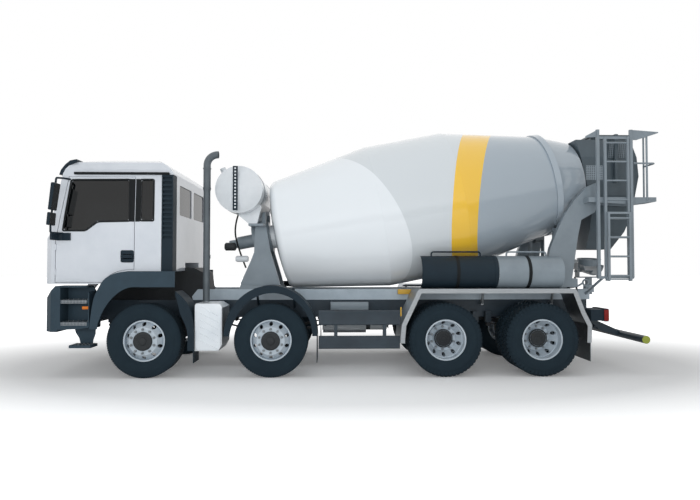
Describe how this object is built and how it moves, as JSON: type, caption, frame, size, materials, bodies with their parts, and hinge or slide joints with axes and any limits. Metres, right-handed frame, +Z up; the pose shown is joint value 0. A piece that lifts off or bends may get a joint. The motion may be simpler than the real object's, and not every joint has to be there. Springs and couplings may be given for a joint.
{
  "type": "concrete mixer truck",
  "caption": "Long concrete mixer truck with a tilting cab, steered front axles, twin-tyred rear axles, a turning drum, hoppers, a swivelling chute and a rear ladder.",
  "frame": {"origin": "on the ground under the middle of the truck's overall length and width", "axes": "+X towards the rear of the truck, +Y towards its right-hand side, +Z up"},
  "size_m": [9.02, 2.88, 3.7608],
  "materials": {
    "cab_white": "gloss",
    "chassis_dark": "satin",
    "grey_paint": "satin",
    "light_grey": "satin",
    "drum_paint": "gloss",
    "silver_rim": "satin",
    "bare_aluminium": "ribbed",
    "black_plastic": "matte",
    "grey_plastic": "matte",
    "tyre_rubber": "matte",
    "steel_dark": "rough",
    "window": "clear",
    "lamp": "gloss",
    "roller_steel": "worn"
  },
  "bodies": {
    "chassis": {"frame": "chassis_dark", "subframe": "light_grey", "engine": "steel_dark", "axles": "chassis_dark", "leaf_springs": "chassis_dark", "bumper": "grey_plastic", "lamps": "lamp", "front_mudguards": "black_plastic", "rear_mudguards": "bare_aluminium", "side_boards": "chassis_dark", "exhaust": "bare_aluminium", "fuel_tank": "bare_aluminium", "water_tank": "drum_paint", "drum_pedestals": "grey_paint", "collector": "grey_paint", "inlet_hopper": "grey_paint", "ladder": "grey_paint", "underrun_bar": "chassis_dark", "spare_chute_dark": "black_plastic", "spare_chute_grey": "grey_paint"},
    "drum": {"drum": "drum_paint"},
    "turntable": {"turntable": "grey_paint"},
    "chute": {"chute": "grey_paint"},
    "lower_ladder": {"lower_ladder": "grey_paint"},
    "cab": {"cab_shell": "cab_white", "cab_glass": "window", "cab_wings": "grey_plastic", "cab_trim": "black_plastic", "cab_interior": "black_plastic"},
    "front_flap": {"front_flap": "grey_plastic"},
    "roller_left": {"roller_left": "roller_steel"},
    "door_left": {"door_left": "cab_white", "door_glass_left": "window", "mirror_left": "black_plastic"},
    "knuckle_1_left": {"knuckle_1_left": "steel_dark"},
    "wheel_1_left": {"rim_1_left": "silver_rim", "tyre_1_left": "tyre_rubber"},
    "knuckle_2_left": {"knuckle_2_left": "steel_dark"},
    "wheel_2_left": {"rim_2_left": "silver_rim", "tyre_2_left": "tyre_rubber"},
    "wheels_3_left": {"rims_3_left": "silver_rim", "tyres_3_left": "tyre_rubber"},
    "wheels_4_left": {"rims_4_left": "silver_rim", "tyres_4_left": "tyre_rubber"},
    "roller_right": {"roller_right": "roller_steel"},
    "door_right": {"door_right": "cab_white", "door_glass_right": "window", "mirror_right": "black_plastic"},
    "knuckle_1_right": {"knuckle_1_right": "steel_dark"},
    "wheel_1_right": {"rim_1_right": "silver_rim", "tyre_1_right": "tyre_rubber"},
    "knuckle_2_right": {"knuckle_2_right": "steel_dark"},
    "wheel_2_right": {"rim_2_right": "silver_rim", "tyre_2_right": "tyre_rubber"},
    "wheels_3_right": {"rims_3_right": "silver_rim", "tyres_3_right": "tyre_rubber"},
    "wheels_4_right": {"rims_4_right": "silver_rim", "tyres_4_right": "tyre_rubber"},
    "tie_rod_1": {"tie_rod_1": "steel_dark"},
    "tie_rod_2": {"tie_rod_2": "steel_dark"}
  },
  "joints": [
    {"name": "cab_tilt", "type": "hinge", "parent": "chassis", "child": "cab", "pos_m": [-4.335, 0, 1.02], "axis": [0, -1, 0], "range_deg": [0, 60]},
    {"name": "front_flap", "type": "hinge", "parent": "cab", "child": "front_flap", "pos_m": [-4.496, 0, 1.927], "axis": [0, 1, 0], "range_deg": [0, 70]},
    {"name": "drum_spin", "type": "hinge", "parent": "chassis", "child": "drum", "pos_m": [1.565, 0, 2.631], "axis": [0.9816, 0, 0.1908], "continuous": true},
    {"name": "chute_swivel", "type": "hinge", "parent": "chassis", "child": "turntable", "pos_m": [3.895, 0, 1.3], "axis": [0, 0, -1], "range_deg": [0, 150]},
    {"name": "chute_tilt", "type": "hinge", "parent": "turntable", "child": "chute", "pos_m": [3.895, 0.06, 1.5], "axis": [1, 0, 0], "range_deg": [-25, 10]},
    {"name": "ladder_fold", "type": "hinge", "parent": "chassis", "child": "lower_ladder", "pos_m": [3.895, -1.06, 1.388], "axis": [1, 0, 0], "range_deg": [0, 180]},
    {"name": "door_left", "type": "hinge", "parent": "cab", "child": "door_left", "pos_m": [-4.316, -1.12, 2.1], "axis": [0, 0, -1], "range_deg": [0, 70]},
    {"name": "roller_left", "type": "hinge", "parent": "chassis", "child": "roller_left", "pos_m": [3.22028, -0.52874, 2.12334], "axis": [0.9816, 0, 0.1908], "continuous": true},
    {"name": "steer_1_left", "type": "hinge", "parent": "chassis", "child": "knuckle_1_left", "pos_m": [-3.035, -0.972, 0.5275], "axis": [0, 0, 1], "range_deg": [-40, 40]},
    {"name": "wheel_1_left", "type": "hinge", "parent": "knuckle_1_left", "child": "wheel_1_left", "pos_m": [-3.035, -1.06, 0.5275], "axis": [0, 1, 0], "continuous": true},
    {"name": "steer_2_left", "type": "hinge", "parent": "chassis", "child": "knuckle_2_left", "pos_m": [-1.24, -0.972, 0.5275], "axis": [0, 0, 1], "range_deg": [-26, 26]},
    {"name": "wheel_2_left", "type": "hinge", "parent": "knuckle_2_left", "child": "wheel_2_left", "pos_m": [-1.24, -1.06, 0.5275], "axis": [0, 1, 0], "continuous": true},
    {"name": "wheels_3_left", "type": "hinge", "parent": "chassis", "child": "wheels_3_left", "pos_m": [1.265, -0.913, 0.5275], "axis": [0, 1, 0], "continuous": true},
    {"name": "wheels_4_left", "type": "hinge", "parent": "chassis", "child": "wheels_4_left", "pos_m": [2.665, -0.913, 0.5275], "axis": [0, 1, 0], "continuous": true},
    {"name": "door_right", "type": "hinge", "parent": "cab", "child": "door_right", "pos_m": [-4.316, 1.12, 2.1], "axis": [0, 0, 1], "range_deg": [0, 70]},
    {"name": "roller_right", "type": "hinge", "parent": "chassis", "child": "roller_right", "pos_m": [3.22028, 0.52874, 2.12334], "axis": [0.9816, 0, 0.1908], "continuous": true},
    {"name": "steer_1_right", "type": "hinge", "parent": "chassis", "child": "knuckle_1_right", "pos_m": [-3.035, 0.972, 0.5275], "axis": [0, 0, 1], "range_deg": [-40, 40]},
    {"name": "wheel_1_right", "type": "hinge", "parent": "knuckle_1_right", "child": "wheel_1_right", "pos_m": [-3.035, 1.06, 0.5275], "axis": [0, 1, 0], "continuous": true},
    {"name": "steer_2_right", "type": "hinge", "parent": "chassis", "child": "knuckle_2_right", "pos_m": [-1.24, 0.972, 0.5275], "axis": [0, 0, 1], "range_deg": [-26, 26]},
    {"name": "wheel_2_right", "type": "hinge", "parent": "knuckle_2_right", "child": "wheel_2_right", "pos_m": [-1.24, 1.06, 0.5275], "axis": [0, 1, 0], "continuous": true},
    {"name": "wheels_3_right", "type": "hinge", "parent": "chassis", "child": "wheels_3_right", "pos_m": [1.265, 0.913, 0.5275], "axis": [0, 1, 0], "continuous": true},
    {"name": "wheels_4_right", "type": "hinge", "parent": "chassis", "child": "wheels_4_right", "pos_m": [2.665, 0.913, 0.5275], "axis": [0, 1, 0], "continuous": true},
    {"name": "tie_rod_1", "type": "hinge", "parent": "knuckle_1_left", "child": "tie_rod_1", "pos_m": [-2.855, -0.972, 0.4025], "axis": [0, 0, 1], "range_deg": [-40, 40]},
    {"name": "tie_rod_2", "type": "hinge", "parent": "knuckle_2_left", "child": "tie_rod_2", "pos_m": [-1.06, -0.972, 0.4025], "axis": [0, 0, 1], "range_deg": [-26, 26]}
  ],
  "couplings": [
    {"joint": "roller_left", "follows": "drum_spin", "ratio": -6.76},
    {"joint": "steer_2_left", "follows": "steer_1_left", "ratio": 0.64},
    {"joint": "roller_right", "follows": "drum_spin", "ratio": -6.76},
    {"joint": "steer_1_right", "follows": "steer_1_left", "ratio": 1},
    {"joint": "steer_2_right", "follows": "steer_1_left", "ratio": 0.64},
    {"joint": "tie_rod_1", "follows": "steer_1_left", "ratio": -1},
    {"joint": "tie_rod_2", "follows": "steer_1_left", "ratio": -0.64}
  ]
}
